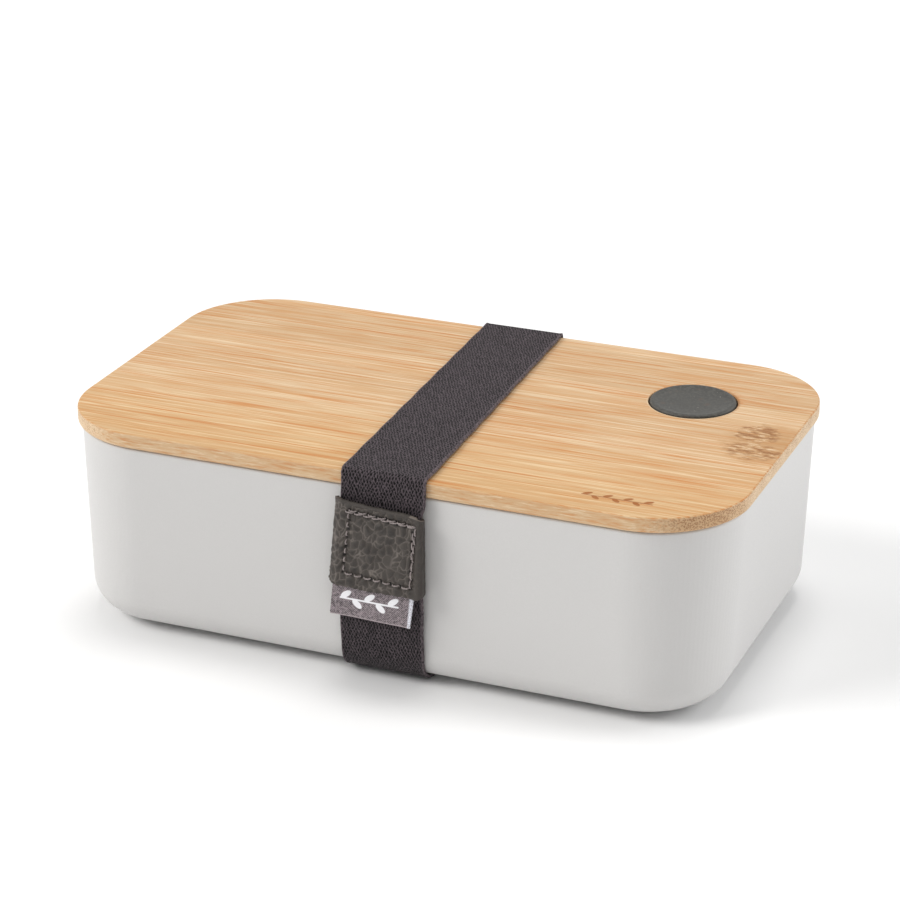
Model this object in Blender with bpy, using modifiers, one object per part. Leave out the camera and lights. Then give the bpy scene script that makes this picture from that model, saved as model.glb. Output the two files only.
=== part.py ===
# Bento lunch box: a drafted plastic container, a bamboo lid with a silicone seal and a
# silicone vent plug, a divider that slides inside, and an elastic strap with a folded
# leather patch and a woven label. Metres. The origin lies on the surface that the box
# stands on, under the middle of the lid; +X runs along the length, -Y is the front.
import math
from collections import namedtuple

import bmesh
import bpy
from mathutils import Matrix

# Overall
LENGTH = 0.2095  # lid, along X
WIDTH = 0.1237  # lid, along Y
HEIGHT = 0.06435  # underside of the container to the top of the lid
CORNER_RADIUS = 0.0288  # lid corners in plan
GAP = 0.0003  # clearance between pieces that touch
CORNER_STEPS = 12  # facets in a quarter turn of a corner in plan
EDGE_STEPS = 3  # facets across a small rounded edge
SHARP_ANGLE = math.radians(35)  # edges sharper than this stay crisp

# Container
WALL = 0.0022
RIM_CORNER_RADIUS = 0.0285
BASE_CORNER_RADIUS = 0.0249
BASE_EDGE_RADIUS = 0.0096  # roll from the walls into the underside
END_TAPER = 0.0028  # by how much the base is shorter than the rim at each end
SIDE_TAPER = 0.0006  # and narrower at the front and at the back
BASE_STEPS = 8  # facets across that roll
TRIM = 0.0010  # spare height that is cut off to leave a flat rim

# Lid
LID_EDGE = 0.0048  # thickness of the board where it overhangs the wall
LID_OVERHANG = 0.0010  # board beyond the container's rim
TOP_ROUND = 0.0006
UNDER_ROUND = 0.0012
PLUG_DEPTH = 0.0045  # step of the board that drops into the container
PLUG_CLEARANCE = 0.0006  # step to wall, at the step's lower edge
GROOVE_DROP = 0.0009  # board's underside to the top of the seal groove
GROOVE_HEIGHT = 0.0024
GROOVE_DEPTH = 0.0020

# Vent plug
VENT_X = 0.0687
VENT_Y = 0.0253
VENT_HOLE_RADIUS = 0.01345
VENT_MARGIN = 0.00045  # disc to the side of its recess
VENT_DISC = 0.0024  # thickness of the disc
VENT_DISH = 0.0005  # how far the middle of the disc lies below its edge
VENT_ROUND = 0.0008
VENT_NECK_RADIUS = 0.0050
VENT_FLANGE_RADIUS = 0.0078  # keeps the plug in the lid
VENT_FLANGE = 0.0012
VENT_TRAVEL = 0.0018
TURN_STEPS = 48

# Divider
DIVIDER_X = -0.030
DIVIDER_THICKNESS = 0.0020
DIVIDER_CLEARANCE = 0.0010  # top of the divider to the lid's step
BAND_THICKNESS = 0.0044
BAND_WIDTH = 0.0045
BAND_LIP = 0.0014  # silicone between the panel's edge and the wall
FLOOR_STEPS = 6  # facets where the divider's outline turns from wall to floor

# Strap
STRAP_WIDTH = 0.0262
STRAP_THICKNESS = 0.0015
STRAP_X = 0.0030  # middle of the strap, halfway along its run over the lid
SKEW_Y = -0.0409  # sideways run of the strap per metre towards the back
SKEW_Z = 0.027  # and per metre upwards
STRAP_FACET = math.radians(11)  # most that the strap turns from one facet to the next

# Leather patch, places along X measured from the middle of the strap
LEATHER = 0.0011
PATCH_BOTTOM = 0.0303  # above the container's underside
PATCH_HEIGHT = 0.0259
PATCH_FRONT_END = -0.0134  # open end of the front layer
PATCH_BACK_END = -0.0156  # open end of the back layer
FOLD_RADIUS = 0.0016  # outside of the fold round the strap's edge
FOLD_STEPS = 5  # facets in each quarter turn of the fold
BEND_RADIUS = 0.0040  # strap easing out and in again at the patch's two edges

# Stitching
THREAD_RADIUS = 0.0003
STITCH_WIDTH = 0.0207
STITCH_HEIGHT = 0.0194
STITCH_X = 0.0005
STITCH_TILT = math.radians(4.4)
STITCH_CORNER = 0.0010

# Woven label
LABEL_WIDTH = 0.0253
LABEL_THICKNESS = 0.0008  # ribbon folded double
LABEL_X = -0.0018
LABEL_BOTTOM = 0.0198  # above the container's underside
LABEL_TUCK = 0.0072  # length hidden under the patch
LABEL_ROUND = 0.00035

# Places that follow from the sizes
BASE_Z = STRAP_THICKNESS + GAP
TOP_Z = BASE_Z + HEIGHT
BOARD_Z = TOP_Z - LID_EDGE
RIM_Z = BOARD_Z - GAP
PLUG_Z = BOARD_Z - PLUG_DEPTH

Outline = namedtuple("Outline", "half_x half_y radius")


def offset(outline, distance):
    """The rounded rectangle that runs a distance outside this one."""
    return Outline(*(size + distance for size in outline))


BOARD = Outline(LENGTH / 2, WIDTH / 2, CORNER_RADIUS)
RIM = Outline(BOARD.half_x - LID_OVERHANG, BOARD.half_y - LID_OVERHANG, RIM_CORNER_RADIUS)
BASE = Outline(RIM.half_x - END_TAPER, RIM.half_y - SIDE_TAPER, BASE_CORNER_RADIUS)
INSIDE = offset(RIM, -WALL)
PLUG_TAPER = END_TAPER * PLUG_DEPTH / (RIM_Z - BASE_Z)
PLUG = offset(INSIDE, -PLUG_CLEARANCE - PLUG_TAPER)

# Layers at the front, as distances from the box's middle plane
PATCH_BACK_Y = RIM.half_y + GAP
STRAP_FRONT_Y = PATCH_BACK_Y + LEATHER + GAP
LABEL_Y = STRAP_FRONT_Y + STRAP_THICKNESS + GAP
PATCH_FRONT_Y = LABEL_Y + LABEL_THICKNESS + GAP
STITCH_Y = PATCH_FRONT_Y + LEATHER + GAP + THREAD_RADIUS


def clear_scene():
    for thing in list(bpy.data.objects):
        bpy.data.objects.remove(thing)


def new_collection(name):
    made = bpy.data.collections.new(name)
    bpy.context.scene.collection.children.link(made)
    return made


def new_material(name, colour, roughness):
    made = bpy.data.materials.new(name)
    made.use_nodes = True
    shader = made.node_tree.nodes["Principled BSDF"]
    shader.inputs["Base Color"].default_value = (*colour, 1)
    shader.inputs["Roughness"].default_value = roughness
    shader.inputs["Metallic"].default_value = 0
    return made


def axis_empty(name, place, parent=None):
    """An empty on a joint's axis, which the pieces that move there hang from."""
    made = bpy.data.objects.new(name, None)
    made.location = place
    made.parent = parent
    if parent:
        made.matrix_parent_inverse = Matrix.Translation(parent.location).inverted()
    parts.objects.link(made)
    return made


def add_piece(name, mesh, material, axis=None):
    mesh.materials.append(material)
    mesh.shade_smooth()
    mesh.set_sharp_from_angle(angle=SHARP_ANGLE)
    piece = bpy.data.objects.new(name, mesh)
    if axis:
        piece.parent = axis
        piece.matrix_parent_inverse = Matrix.Translation(axis.location).inverted()
    parts.objects.link(piece)
    return piece


def add_cutter(name, mesh):
    cutter = bpy.data.objects.new(name, mesh)
    cutter.hide_render = True
    cutter.display_type = "WIRE"
    cutters.objects.link(cutter)
    return cutter


def cut(piece, cutter):
    modifier = piece.modifiers.new("cut " + cutter.name, "BOOLEAN")
    modifier.operation = "DIFFERENCE"
    modifier.object = cutter


def mesh_of(name, bm):
    mesh = bpy.data.meshes.new(name)
    bm.to_mesh(mesh)
    bm.free()
    return mesh


def arc(centre, radius, start, end, steps):
    """Points from one angle to another round a centre, both ends included."""
    turn = (end - start) / steps
    angles = [start + turn * step for step in range(steps + 1)]
    return [(centre[0] + radius * math.cos(a), centre[1] + radius * math.sin(a)) for a in angles]


def block(outline, low, high):
    """A rounded rectangle in plan, from one height to another."""
    bm = bmesh.new()
    bmesh.ops.create_cube(bm, size=1)
    size = (2 * outline.half_x, 2 * outline.half_y, high - low)
    bmesh.ops.scale(bm, vec=size, verts=bm.verts)
    bmesh.ops.translate(bm, vec=(0, 0, (low + high) / 2), verts=bm.verts)
    upright = [e for e in bm.edges if abs(e.verts[0].co.z - e.verts[1].co.z) > GAP]
    bmesh.ops.bevel(
        bm, geom=upright, offset=outline.radius, segments=CORNER_STEPS, profile=0.5, affect="EDGES"
    )
    return bm


def verts_at(bm, height):
    return [v for v in bm.verts if abs(v.co.z - height) < GAP / 10]


def face_at(bm, height):
    """The flat face at a height, which has the most corners of those that lie there."""
    level = set(verts_at(bm, height))
    return max((f for f in bm.faces if set(f.verts) <= level), key=lambda f: len(f.verts))


def resize(verts, old, new):
    """Moves points of one rounded rectangle to their places on another."""
    for v in verts:
        for axis, old_half, new_half in ((0, old.half_x, new.half_x), (1, old.half_y, new.half_y)):
            side = math.copysign(1, v.co[axis])
            from_centre = v.co[axis] - side * (old_half - old.radius)
            v.co[axis] = side * (new_half - new.radius) + from_centre * new.radius / old.radius


def round_edge(bm, height, radius, segments):
    rim = set(verts_at(bm, height))
    edges = [e for e in bm.edges if set(e.verts) <= rim]
    bmesh.ops.bevel(bm, geom=edges, offset=radius, segments=segments, profile=0.5, affect="EDGES")


def step_down(bm, face, old, new, drop):
    """Extrudes a face downwards and fits it to a new outline."""
    made = bmesh.ops.extrude_face_region(bm, geom=[face])["geom"]
    bmesh.ops.delete(bm, geom=[face], context="FACES_ONLY")
    verts = [item for item in made if isinstance(item, bmesh.types.BMVert)]
    bmesh.ops.translate(bm, vec=(0, 0, -drop), verts=verts)
    resize(verts, old, new)
    return next(item for item in made if isinstance(item, bmesh.types.BMFace))


def curve_mesh(name, curve, turned=False):
    """The mesh of a curve, with its caps welded. Turned, the curve's own X, Y and Z lie
    along the part's Y, Z and X."""
    guide = bpy.data.objects.new(name, curve)
    cutters.objects.link(guide)
    if turned:
        guide.rotation_euler = (math.pi / 2, 0, math.pi / 2)
    bpy.context.view_layer.update()
    graph = bpy.context.evaluated_depsgraph_get()
    mesh = bpy.data.meshes.new_from_object(guide.evaluated_get(graph))
    mesh.materials.clear()
    mesh.transform(guide.matrix_world)
    bpy.data.objects.remove(guide)
    bm = bmesh.new()
    bm.from_mesh(mesh)
    bmesh.ops.remove_doubles(bm, verts=bm.verts, dist=GAP / 100)
    bmesh.ops.recalc_face_normals(bm, faces=bm.faces)
    bm.to_mesh(mesh)
    bm.free()
    return mesh


def add_spline(curve, points):
    spline = curve.splines.new("POLY")
    spline.points.add(len(points) - 1)
    for place, point in zip(spline.points, points):
        place.co = (*point, *(0,) * (3 - len(point)), 1)
    spline.use_cyclic_u = True


def plate(name, outlines, thickness, turned=False):
    """A flat outline, with the holes that later outlines give, and its thickness."""
    curve = bpy.data.curves.new(name, "CURVE")
    curve.dimensions = "2D"
    curve.fill_mode = "BOTH"
    curve.extrude = thickness / 2
    for points in outlines:
        add_spline(curve, points)
    return curve_mesh(name, curve, turned)


def wire(name, points, radius):
    """A closed loop of round wire."""
    curve = bpy.data.curves.new(name, "CURVE")
    curve.dimensions = "3D"
    curve.bevel_depth = radius
    curve.bevel_resolution = 2
    add_spline(curve, points)
    return curve_mesh(name, curve)


def turn(piece):
    """Turns a profile about Z."""
    screw = piece.modifiers.new("turn", "SCREW")
    screw.steps = screw.render_steps = TURN_STEPS
    screw.use_merge_vertices = True
    screw.merge_threshold = GAP / 10
    return piece


def profile_mesh(name, points):
    """An open line of (radius, height) points, for turning about Z."""
    mesh = bpy.data.meshes.new(name)
    edges = [(i, i + 1) for i in range(len(points) - 1)]
    mesh.from_pydata([(x, 0, z) for x, z in points], edges, [])
    return mesh


def container():
    bm = block(RIM, BASE_Z, RIM_Z + TRIM)
    resize(verts_at(bm, BASE_Z), RIM, BASE)
    round_edge(bm, BASE_Z, BASE_EDGE_RADIUS, BASE_STEPS)
    bmesh.ops.delete(bm, geom=[face_at(bm, RIM_Z + TRIM)], context="FACES")
    piece = add_piece("container", mesh_of("container", bm), plastic)
    shell = piece.modifiers.new("wall", "SOLIDIFY")
    shell.thickness = WALL
    shell.offset = -1
    shell.use_even_offset = True
    trim = block(offset(RIM, WALL), RIM_Z, RIM_Z + WALL + TRIM)
    cut(piece, add_cutter("rim_trim", mesh_of("rim_trim", trim)))


def lid_board(axis):
    bm = block(BOARD, BOARD_Z, TOP_Z)
    round_edge(bm, TOP_Z, TOP_ROUND, EDGE_STEPS)
    round_edge(bm, BOARD_Z, UNDER_ROUND, EDGE_STEPS)
    groove = offset(PLUG, -GROOVE_DEPTH)
    face = step_down(bm, face_at(bm, BOARD_Z), offset(BOARD, -UNDER_ROUND), PLUG, 0)
    face = step_down(bm, face, PLUG, PLUG, GROOVE_DROP)
    face = step_down(bm, face, PLUG, groove, 0)
    face = step_down(bm, face, groove, groove, GROOVE_HEIGHT)
    face = step_down(bm, face, groove, PLUG, 0)
    step_down(bm, face, PLUG, PLUG, PLUG_DEPTH - GROOVE_DROP - GROOVE_HEIGHT)
    piece = add_piece("lid_board", mesh_of("lid_board", bm), bamboo, axis)
    cut(piece, vent_recess())


def vent_recess():
    """The recess for the plug's disc and the hole for its neck."""
    seat = TOP_Z - VENT_DISC - GAP
    hole = VENT_NECK_RADIUS + GAP
    above, below = TOP_Z + TRIM, PLUG_Z - TRIM
    profile = [
        (0, above),
        (VENT_HOLE_RADIUS, above),
        (VENT_HOLE_RADIUS, seat),
        (hole, seat),
        (hole, below),
        (0, below),
    ]
    cutter = add_cutter("vent_recess", profile_mesh("vent_recess", profile))
    cutter.location = (VENT_X, VENT_Y, 0)
    return turn(cutter)


def lid_seal(axis):
    """A round silicone cord that fills the groove and reaches to the container's wall."""
    middle = BOARD_Z - GROOVE_DROP - GROOVE_HEIGHT / 2
    radius = GROOVE_HEIGHT / 2 - GAP
    path = offset(PLUG, radius + GAP - GROOVE_DEPTH)
    points = []
    for x, y, start in ((1, 1, 0), (-1, 1, 1), (-1, -1, 2), (1, -1, 3)):
        centre = (x * (path.half_x - path.radius), y * (path.half_y - path.radius))
        first = start * math.pi / 2
        points += arc(centre, path.radius, first, first + math.pi / 2, CORNER_STEPS)
    mesh = wire("lid_seal", [(x, y, middle) for x, y in points], radius)
    add_piece("lid_seal", mesh, seal_silicone, axis)


def vent_plug(axis):
    """A disc in the lid's recess, a neck through the lid and a flange that keeps it."""
    disc = VENT_HOLE_RADIUS - VENT_MARGIN
    flat = disc - VENT_ROUND
    flange_top = PLUG_Z - GAP - VENT_TRAVEL
    dish = [
        (flat * share / 4, TOP_Z - VENT_DISH * (1 - (share / 4) ** 2)) for share in range(4)
    ]
    edge = arc((flat, TOP_Z - VENT_ROUND), VENT_ROUND, math.pi / 2, 0, EDGE_STEPS)
    shank = [
        (disc, TOP_Z - VENT_DISC),
        (VENT_NECK_RADIUS, TOP_Z - VENT_DISC),
        (VENT_NECK_RADIUS, flange_top),
        (VENT_FLANGE_RADIUS, flange_top),
        (VENT_FLANGE_RADIUS, flange_top - VENT_FLANGE),
        (0, flange_top - VENT_FLANGE),
    ]
    piece = add_piece("vent_plug", profile_mesh("vent_plug", dish + edge + shank), vent_silicone)
    piece.location = (VENT_X, VENT_Y, 0)
    piece.parent = axis
    piece.matrix_parent_inverse = Matrix.Translation((-VENT_X, -VENT_Y, -TOP_Z))
    turn(piece)


def tub_section(clearance, top):
    """The container's inside across its width, as (y, z) from the top at the back, round
    the floor and up to the top at the front."""
    radius = BASE_EDGE_RADIUS - WALL - clearance
    floor = BASE_Z + WALL + clearance
    half = BASE.half_y - WALL - clearance
    top_half = half + SIDE_TAPER * (top - BASE_Z) / (RIM_Z - BASE_Z)
    back = [(top_half, top)]
    back += arc((half - radius, floor + radius), radius, 0, -math.pi / 2, FLOOR_STEPS)
    return back + [(-y, z) for y, z in reversed(back)]


def move_to_divider(mesh):
    mesh.transform(Matrix.Translation((DIVIDER_X, 0, 0)))
    return mesh


def divider(axis):
    top = PLUG_Z - DIVIDER_CLEARANCE
    panel = plate("divider_panel", [tub_section(GAP + BAND_LIP, top)], DIVIDER_THICKNESS, True)
    add_piece("divider_panel", move_to_divider(panel), plastic, axis)
    around = tub_section(GAP, top) + tub_section(GAP + BAND_WIDTH, top)[::-1]
    band = plate("divider_seal", [around], BAND_THICKNESS, True)
    seal = add_piece("divider_seal", move_to_divider(band), seal_silicone, axis)
    slot = tub_section(BAND_LIP, top + TRIM)
    slot = plate("divider_slot", [slot], DIVIDER_THICKNESS + 2 * GAP, True)
    cut(seal, add_cutter("divider_slot", move_to_divider(slot)))


def lay_askew(mesh):
    """Moves what is made about the strap's own middle line to where the strap lies."""
    skew = Matrix.Identity(4)
    skew[0][1] = SKEW_Y
    skew[0][2] = SKEW_Z
    skew[0][3] = STRAP_X - SKEW_Z * TOP_Z
    mesh.transform(skew)
    return mesh


def normal_angle(first, second):
    """The angle of the outward normal of the line that touches two circles."""
    (y1, z1, r1), (y2, z2, r2) = first, second
    span = math.hypot(y2 - y1, z2 - z1)
    return math.atan2(z2 - z1, y2 - y1) - math.acos((r1 - r2) / span)


def band_round(circles, outside):
    """A taut line round circles (y, z, radius), at a distance outside them."""
    points = []
    for here, (y, z, radius) in enumerate(circles):
        start = normal_angle(circles[here - 1], circles[here])
        end = normal_angle(circles[here], circles[(here + 1) % len(circles)])
        sweep = (end - start) % (2 * math.pi)
        steps = max(2, round(sweep / STRAP_FACET))
        points += arc((y, z), radius + outside, start, start + sweep, steps)
    return points


def strap_webbing(axis):
    base_y = BASE.half_y - BASE_EDGE_RADIUS
    base_z = BASE_Z + BASE_EDGE_RADIUS
    lid_y = BOARD.half_y - TOP_ROUND
    lid_z = TOP_Z - TOP_ROUND
    bend_y = STRAP_FRONT_Y - GAP - BEND_RADIUS
    circles = [
        (-base_y, base_z, BASE_EDGE_RADIUS),
        (base_y, base_z, BASE_EDGE_RADIUS),
        (lid_y, lid_z, TOP_ROUND),
        (-lid_y, lid_z, TOP_ROUND),
        (-bend_y, BASE_Z + PATCH_BOTTOM + PATCH_HEIGHT, BEND_RADIUS),
        (-bend_y, BASE_Z + PATCH_BOTTOM, BEND_RADIUS),
    ]
    loops = [band_round(circles, GAP + STRAP_THICKNESS), band_round(circles, GAP)]
    mesh = plate("strap_webbing", loops, STRAP_WIDTH, True)
    add_piece("strap_webbing", lay_askew(mesh), elastic, axis)


def leather_patch(axis):
    """One strip folded round the strap's right edge, its two ends open at the left."""
    fold_x = STRAP_WIDTH / 2 + GAP
    front_out, front_in = PATCH_FRONT_Y + LEATHER, PATCH_FRONT_Y
    back_out, back_in = PATCH_BACK_Y, PATCH_BACK_Y + LEATHER
    centre_x = fold_x + LEATHER - FOLD_RADIUS
    inner = FOLD_RADIUS - LEATHER
    quarter = math.pi / 2
    outline = [(PATCH_FRONT_END, -front_out)]
    outline += arc((centre_x, FOLD_RADIUS - front_out), FOLD_RADIUS, -quarter, 0, FOLD_STEPS)
    outline += arc((centre_x, -back_out - FOLD_RADIUS), FOLD_RADIUS, 0, quarter, FOLD_STEPS)
    outline += [(PATCH_BACK_END, -back_out), (PATCH_BACK_END, -back_in)]
    outline += arc((centre_x, -back_in - inner), inner, quarter, 0, EDGE_STEPS)
    outline += arc((centre_x, inner - front_in), inner, 0, -quarter, EDGE_STEPS)
    outline += [(PATCH_FRONT_END, -front_in)]
    mesh = plate("leather_patch", [outline], PATCH_HEIGHT)
    mesh.transform(Matrix.Translation((0, 0, BASE_Z + PATCH_BOTTOM + PATCH_HEIGHT / 2)))
    add_piece("leather_patch", lay_askew(mesh), leather, axis)


def patch_stitching(axis):
    """The line of thread that holds the patch, the strap's ends and the label together."""
    half_x = STITCH_WIDTH / 2 - STITCH_CORNER
    half_z = STITCH_HEIGHT / 2 - STITCH_CORNER
    points = []
    for x, z, start in ((1, 1, 0), (-1, 1, 1), (-1, -1, 2), (1, -1, 3)):
        first = start * math.pi / 2
        centre = (x * half_x, z * half_z)
        points += arc(centre, STITCH_CORNER, first, first + math.pi / 2, EDGE_STEPS)
    mesh = wire("patch_stitching", [(x, 0, z) for x, z in points], THREAD_RADIUS)
    middle = BASE_Z + PATCH_BOTTOM + PATCH_HEIGHT / 2
    mesh.transform(Matrix.Rotation(STITCH_TILT, 4, "Y"))
    mesh.transform(Matrix.Translation((STITCH_X, -STITCH_Y, middle)))
    add_piece("patch_stitching", lay_askew(mesh), thread, axis)


def woven_label(axis):
    """A ribbon folded double, its fold hanging below the patch."""
    height = PATCH_BOTTOM - LABEL_BOTTOM + LABEL_TUCK
    bm = bmesh.new()
    bmesh.ops.create_cube(bm, size=1)
    bmesh.ops.scale(bm, vec=(LABEL_WIDTH, LABEL_THICKNESS, height), verts=bm.verts)
    low = -height / 2
    fold = [e for e in bm.edges if all(abs(v.co.z - low) < GAP / 10 for v in e.verts)]
    fold = [e for e in fold if abs(e.verts[0].co.x - e.verts[1].co.x) > GAP]
    bmesh.ops.bevel(
        bm, geom=fold, offset=LABEL_ROUND, segments=EDGE_STEPS, profile=0.5, affect="EDGES"
    )
    mesh = mesh_of("woven_label", bm)
    place = (LABEL_X, -LABEL_Y - LABEL_THICKNESS / 2, BASE_Z + LABEL_BOTTOM + height / 2)
    mesh.transform(Matrix.Translation(place))
    add_piece("woven_label", lay_askew(mesh), ribbon, axis)


clear_scene()
parts = new_collection("bento_lunch_box")
cutters = new_collection("cutters")
plastic = new_material("container_plastic", (0.64, 0.62, 0.60), 0.45)
bamboo = new_material("bamboo", (0.74, 0.52, 0.28), 0.5)
vent_silicone = new_material("vent_silicone", (0.11, 0.10, 0.09), 0.55)
seal_silicone = new_material("seal_silicone", (0.45, 0.44, 0.42), 0.5)
elastic = new_material("elastic_webbing", (0.06, 0.05, 0.055), 0.9)
leather = new_material("leather", (0.09, 0.08, 0.075), 0.6)
thread = new_material("thread", (0.40, 0.33, 0.33), 0.8)
ribbon = new_material("label_ribbon", (0.22, 0.17, 0.19), 0.8)

lid_lift = axis_empty("lid_lift", (0, 0, BOARD_Z))
vent_lift = axis_empty("vent_lift", (VENT_X, VENT_Y, TOP_Z), lid_lift)
divider_slide = axis_empty("divider_slide", (DIVIDER_X, 0, BASE_Z + WALL))
strap_slide = axis_empty("strap_slide", (STRAP_X, 0, TOP_Z))

container()
lid_board(lid_lift)
lid_seal(lid_lift)
vent_plug(vent_lift)
divider(divider_slide)
strap_webbing(strap_slide)
leather_patch(strap_slide)
patch_stitching(strap_slide)
woven_label(strap_slide)
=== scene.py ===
import math

import bmesh
import bpy
import numpy as np
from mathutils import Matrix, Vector, noise


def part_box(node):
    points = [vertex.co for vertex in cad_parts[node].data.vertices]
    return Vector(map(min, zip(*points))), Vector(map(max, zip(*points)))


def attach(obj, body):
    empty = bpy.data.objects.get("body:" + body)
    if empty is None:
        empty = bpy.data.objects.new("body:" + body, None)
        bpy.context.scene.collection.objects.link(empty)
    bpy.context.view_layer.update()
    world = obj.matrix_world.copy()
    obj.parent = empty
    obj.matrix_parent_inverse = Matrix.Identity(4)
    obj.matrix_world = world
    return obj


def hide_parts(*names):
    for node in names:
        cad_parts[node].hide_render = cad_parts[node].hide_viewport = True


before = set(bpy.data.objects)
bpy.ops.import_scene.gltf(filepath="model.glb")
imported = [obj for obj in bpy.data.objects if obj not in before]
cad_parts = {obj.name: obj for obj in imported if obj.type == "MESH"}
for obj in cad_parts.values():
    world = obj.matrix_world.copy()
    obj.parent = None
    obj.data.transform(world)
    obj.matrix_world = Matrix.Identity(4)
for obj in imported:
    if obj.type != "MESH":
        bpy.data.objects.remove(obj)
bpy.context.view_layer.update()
bpy.ops.object.select_all(action="DESELECT")
print("frame loaded")

fit = {  # clearances and offsets that several pieces share, in metres
    "gap": 0.0003,
    "overhang": 0.0010,      # lid beyond the container's rim
    "wall": 0.0022,
    "baseRoll": 0.0096,      # rounding from the walls into the underside
    "sideTaper": 0.0006,
    "endTaper": 0.0028,
    "leanY": -0.0409,        # strap's sideways run towards the back
    "leanZ": 0.027,          # and upwards
    "strapX": 0.0030,
}
lidLow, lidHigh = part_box("lid_board")
tubLow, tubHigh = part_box("container")
patchLow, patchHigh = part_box("leather_patch")
labelLow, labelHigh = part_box("woven_label")
ventLow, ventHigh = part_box("vent_plug")
sealLow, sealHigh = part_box("lid_seal")
topZ = lidHigh.z
ventX, ventY = (ventLow.x + ventHigh.x) / 2, (ventLow.y + ventHigh.y) / 2


# camera and lights

view = {
    "place": (0.3075, -0.7496, 0.3908),
    "aim": (-0.00190, 0.00507, 0.04698),
    "lens": 115.95,
}
bpy.ops.object.camera_add(location=view["place"])
camera = bpy.context.object
camera.data.lens = view["lens"]
camera.data.sensor_width = 36
camera.rotation_euler = (Vector(view["aim"]) - camera.location).to_track_quat("-Z", "Y").to_euler()
bpy.context.scene.camera = camera

lamps = {  # direction it comes from, brightness, softness in degrees, colour
    "key": ((-0.95, -0.70, 0.95), 1.55, 28, (1.0, 0.99, 0.975)),
    "top": ((0.0, 0.18, 1.20), 0.90, 20, (1.0, 0.995, 0.985)),
    "right": ((1.20, 0.80, 0.60), 1.32, 45, (0.98, 0.99, 1.0)),
    "left": ((-1.20, 0.20, 0.50), 0.55, 50, (0.99, 0.995, 1.0)),
}
for name, (place, power, softness, color) in lamps.items():
    bpy.ops.object.light_add(type="SUN", location=place)
    lamp = bpy.context.object
    lamp.name = name
    lamp.data.angle = math.radians(softness)
    lamp.data.energy = power
    lamp.data.color = color
    lamp.rotation_euler = (-lamp.location).to_track_quat("-Z", "Y").to_euler()

ambient = {"color": (1, 1, 1, 1), "strength": 0.385}
world = bpy.data.worlds.new("studio")
bpy.context.scene.world = world
world.use_nodes = True
background = world.node_tree.nodes["Background"]
background.inputs["Color"].default_value = ambient["color"]
background.inputs["Strength"].default_value = ambient["strength"]
bpy.context.scene.view_settings.view_transform = "Standard"


# helpers for shader nodes

def addNode(tree, kind, inputs=None, **settings):
    node = tree.nodes.new("ShaderNode" + kind)
    for name, value in settings.items():
        setattr(node, name, value)
    for name, value in (inputs or {}).items():
        if isinstance(value, bpy.types.NodeSocket):
            tree.links.new(value, node.inputs[name])
        else:
            node.inputs[name].default_value = value
    return node


def calc(tree, operation, *values, clamp=False):
    return addNode(tree, "Math", dict(enumerate(values)), operation=operation, use_clamp=clamp).outputs[0]


def plus(tree, first, second, clamp=False):
    return calc(tree, "ADD", first, second, clamp=clamp)


def minus(tree, first, second):
    return calc(tree, "SUBTRACT", first, second)


def times(tree, first, second):
    return calc(tree, "MULTIPLY", first, second)


def divide(tree, first, second):
    return calc(tree, "DIVIDE", first, second)


def spread(tree, value, low, high, toLow=0.0, toHigh=1.0):
    inputs = {"Value": value, "From Min": low, "From Max": high, "To Min": toLow, "To Max": toHigh}
    return addNode(tree, "MapRange", inputs, clamp=True).outputs[0]


def colorMix(tree, factor, first, second, mode="MIX"):
    node = addNode(tree, "Mix", data_type="RGBA", blend_type=mode)
    for index, value in ((0, factor), (6, first), (7, second)):
        if isinstance(value, bpy.types.NodeSocket):
            tree.links.new(value, node.inputs[index])
        else:
            node.inputs[index].default_value = value if index == 0 else (*value, 1)
    return node.outputs[2]


def stretched(tree, vector, scale, offset=(0, 0, 0)):
    return addNode(tree, "Mapping", {"Vector": vector, "Scale": scale, "Location": offset}).outputs[0]


def noiseValue(tree, vector, scale, detail=2.0, rough=0.5, distortion=0.0):
    inputs = {"Vector": vector, "Scale": scale, "Detail": detail, "Roughness": rough,
              "Distortion": distortion}
    return addNode(tree, "TexNoise", inputs).outputs[0]


def axes(tree, vector):
    return addNode(tree, "SeparateXYZ", {0: vector}).outputs


def ownPlace(tree):
    return addNode(tree, "TexCoord").outputs["Object"]


def markOf(tree, name):
    return addNode(tree, "Attribute", attribute_name=name).outputs["Fac"]


def cellDistance(tree, vector, scale, feature="F1"):
    inputs = {"Vector": vector, "Scale": scale}
    return addNode(tree, "TexVoronoi", inputs, feature=feature).outputs["Distance"]


def shaded(color, share):
    return tuple(c * share for c in color)


def newMaterial(name, roughness, **constants):
    material = bpy.data.materials.new(name)
    material.use_nodes = True
    shader = material.node_tree.nodes["Principled BSDF"]
    shader.inputs["Roughness"].default_value = roughness
    for socket, value in constants.items():
        shader.inputs[socket.replace("_", " ")].default_value = value
    return material, material.node_tree, shader


def addBump(tree, shader, height, distance, strength=1.0):
    bump = addNode(tree, "Bump", {"Height": height, "Distance": distance, "Strength": strength})
    tree.links.new(bump.outputs[0], shader.inputs["Normal"])


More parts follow.
